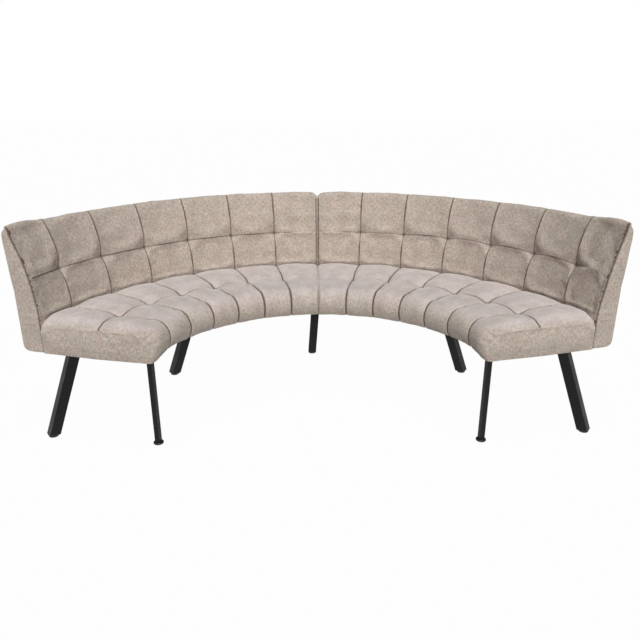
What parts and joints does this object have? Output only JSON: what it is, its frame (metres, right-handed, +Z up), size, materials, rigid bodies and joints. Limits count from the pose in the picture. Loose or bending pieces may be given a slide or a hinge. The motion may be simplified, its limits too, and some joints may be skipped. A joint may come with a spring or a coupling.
{
  "type": "curved banquette bench",
  "caption": "Half-round upholstered dining banquette of joined curved modules: tufted seat, leaning tufted back, plain gusset ends, and splayed square-tube steel legs on levelling glides.",
  "frame": {"origin": "on the floor in the bench's mirror plane, midway between its foremost and rearmost points", "axes": "+X along the bench, to the right as a person faces it; +Y to the rear; +Z up. The centre of the bench's arc lies on the mirror plane, 0.6989 m in front of the origin"},
  "size_m": [2.3402, 1.039, 0.8403],
  "materials": {
    "upholstery": "mottled beige chenille with a soft sheen, over foam",
    "dust_cloth": "black non-woven",
    "plywood": "raw birch ply",
    "beech": "planed, raw",
    "black_steel": "satin black powder coat",
    "black_plastic": "moulded, matte black",
    "zinc_steel": "zinc plated"
  },
  "bodies": {
    "bench": {"seat_cushion_left": "upholstery", "seat_cushion_right": "upholstery", "back_cushion_left": "upholstery", "back_cushion_right": "upholstery", "back_end_panel_left": "upholstery", "back_end_panel_right": "upholstery", "back_joint_panel_left": "upholstery", "back_joint_panel_right": "upholstery", "outer_back_left": "upholstery", "outer_back_right": "upholstery", "dust_cover_left": "dust_cloth", "dust_cover_right": "dust_cloth", "seat_deck_left": "plywood", "seat_deck_right": "plywood", "front_rail_left": "beech", "front_rail_right": "beech", "rear_rail_left": "beech", "rear_rail_right": "beech", "base_rail_left": "beech", "base_rail_right": "beech", "top_rail_left": "beech", "top_rail_right": "beech", "back_panel_left": "plywood", "back_panel_right": "plywood", "seat_ribs_left": "beech", "seat_ribs_right": "beech", "back_posts_left": "beech", "back_posts_right": "beech", "leg_blocks_left": "beech", "leg_blocks_right": "beech", "leg_end_left": "black_steel", "leg_end_right": "black_steel", "leg_mid_left": "black_steel", "leg_mid_right": "black_steel", "leg_centre": "black_steel", "leg_front_left": "black_steel", "leg_front_right": "black_steel", "rear_leg_plugs": "black_plastic", "front_leg_plugs": "black_plastic", "leg_bolts": "zinc_steel", "insert_nuts": "zinc_steel", "frame_bolts": "zinc_steel", "frame_nuts": "zinc_steel", "joint_strap": "black_steel", "strap_bolts": "zinc_steel"},
    "glide_end_left": {"glide_end_left": "black_plastic"},
    "glide_end_right": {"glide_end_right": "black_plastic"},
    "glide_mid_left": {"glide_mid_left": "black_plastic"},
    "glide_mid_right": {"glide_mid_right": "black_plastic"},
    "glide_centre": {"glide_centre": "black_plastic"},
    "glide_front_left": {"glide_front_left": "black_plastic"},
    "glide_front_right": {"glide_front_right": "black_plastic"}
  },
  "joints": [
    {"name": "glide_end_left_screw", "type": "slide", "parent": "bench", "child": "glide_end_left", "axis": [0, 0, -1], "range_m": [0, 0.01]},
    {"name": "glide_end_right_screw", "type": "slide", "parent": "bench", "child": "glide_end_right", "axis": [0, 0, -1], "range_m": [0, 0.01]},
    {"name": "glide_mid_left_screw", "type": "slide", "parent": "bench", "child": "glide_mid_left", "axis": [0, 0, -1], "range_m": [0, 0.01]},
    {"name": "glide_mid_right_screw", "type": "slide", "parent": "bench", "child": "glide_mid_right", "axis": [0, 0, -1], "range_m": [0, 0.01]},
    {"name": "glide_centre_screw", "type": "slide", "parent": "bench", "child": "glide_centre", "axis": [0, 0, -1], "range_m": [0, 0.01]},
    {"name": "glide_front_left_screw", "type": "slide", "parent": "bench", "child": "glide_front_left", "axis": [0, 0, -1], "range_m": [0, 0.01]},
    {"name": "glide_front_right_screw", "type": "slide", "parent": "bench", "child": "glide_front_right", "axis": [0, 0, -1], "range_m": [0, 0.01]}
  ]
}
